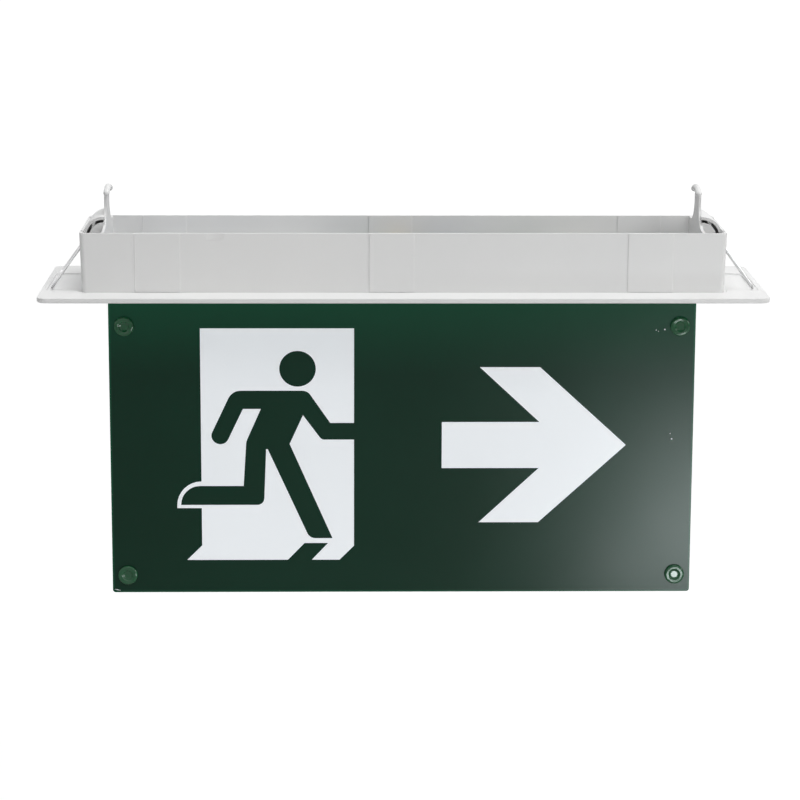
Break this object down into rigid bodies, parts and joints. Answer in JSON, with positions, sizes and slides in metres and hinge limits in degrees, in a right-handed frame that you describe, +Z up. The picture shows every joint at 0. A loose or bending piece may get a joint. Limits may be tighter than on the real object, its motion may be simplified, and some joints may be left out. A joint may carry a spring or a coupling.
{
  "type": "emergency exit light",
  "caption": "Recessed ceiling exit light: sprung white tray with a hanging green edge-lit blade showing a running figure, a door and an arrow.",
  "frame": {"origin": "centre of the tray's cut-out in the ceiling plane, which is the upper face of the flange", "axes": "+X along the sign to the right seen from the front, the front faces -Y, +Z up into the ceiling void"},
  "size_m": [0.363, 0.092, 0.2139],
  "materials": {
    "white_moulding": "white, fine satin",
    "clear_acrylic": "polished clear acrylic light guide",
    "legend_green": "glossy printed sheet, dark green with white legend",
    "rivet_green": "translucent green, glossy",
    "rail_aluminium": "extruded, lightly anodised",
    "board_white": "white solder mask",
    "led_body": "phosphor window in a white package",
    "screw_steel": "zinc plated",
    "battery_sleeve": "shrink sleeve",
    "clip_plastic": "natural nylon",
    "driver_case": "sealed case, fine texture",
    "board_green": "green solder mask",
    "transformer_core": "varnished laminations and yellow tape",
    "relay_case": "moulded case",
    "capacitor_can": "sleeved can with bare top",
    "terminal_body": "nylon",
    "terminal_screw": "nickel brass",
    "button_white": "satin",
    "bush_grey": "satin",
    "spring_steel": "drawn spring wire",
    "switch_black": "moulded",
    "indicator_green": "tinted epoxy",
    "lens_clear": "clear light pipe",
    "pin_steel": "ground pin"
  },
  "bodies": {
    "housing": {"recess_tray": "white_moulding", "light_guide": "clear_acrylic", "front_legend_panel": "legend_green", "rear_legend_panel": "legend_green", "front_rivets": "rivet_green", "rear_rivets": "rivet_green", "light_rail": "rail_aluminium", "led_board": "board_white", "leds": "led_body", "guide_screws": "screw_steel", "battery_pack": "battery_sleeve", "left_battery_clip": "clip_plastic", "right_battery_clip": "clip_plastic", "driver_module": "driver_case", "driver_screws": "screw_steel", "control_board": "board_green", "board_screws": "screw_steel", "board_transformer": "transformer_core", "board_relay": "relay_case", "board_capacitors": "capacitor_can", "terminal_block": "terminal_body", "terminal_screws": "terminal_screw", "cord_clamp": "clip_plastic", "clamp_screws": "screw_steel", "button_bush": "bush_grey", "button_spring": "spring_steel", "switch_board": "board_green", "switch_screws": "screw_steel", "push_switch": "switch_black", "charge_led": "indicator_green", "charge_lens": "lens_clear", "right_spring_pin": "pin_steel", "left_spring_pin": "pin_steel", "right_spring_coils": "spring_steel", "left_spring_coils": "spring_steel"},
    "right_bail": {"right_bail_wire": "spring_steel"},
    "left_bail": {"left_bail_wire": "spring_steel"},
    "button": {"test_button": "button_white"}
  },
  "joints": [
    {"name": "right_bail_hinge", "type": "hinge", "parent": "housing", "child": "right_bail", "pos_m": [0.156, 0, 0.0249], "axis": [0, -1, 0], "range_deg": [0, 140], "stiffness_Nm_per_rad": 0.05, "springref_deg": -34.38, "deforming": ["right_spring_coils"]},
    {"name": "left_bail_hinge", "type": "hinge", "parent": "housing", "child": "left_bail", "pos_m": [-0.156, 0, 0.0249], "axis": [0, 1, 0], "range_deg": [0, 140], "stiffness_Nm_per_rad": 0.05, "springref_deg": -34.38, "deforming": ["left_spring_coils"]},
    {"name": "test_button_slide", "type": "slide", "parent": "housing", "child": "button", "axis": [0, 0, 1], "range_m": [0, 0.0015], "stiffness_N_per_m": 300, "springref_m": -0.002, "deforming": ["button_spring"]}
  ]
}
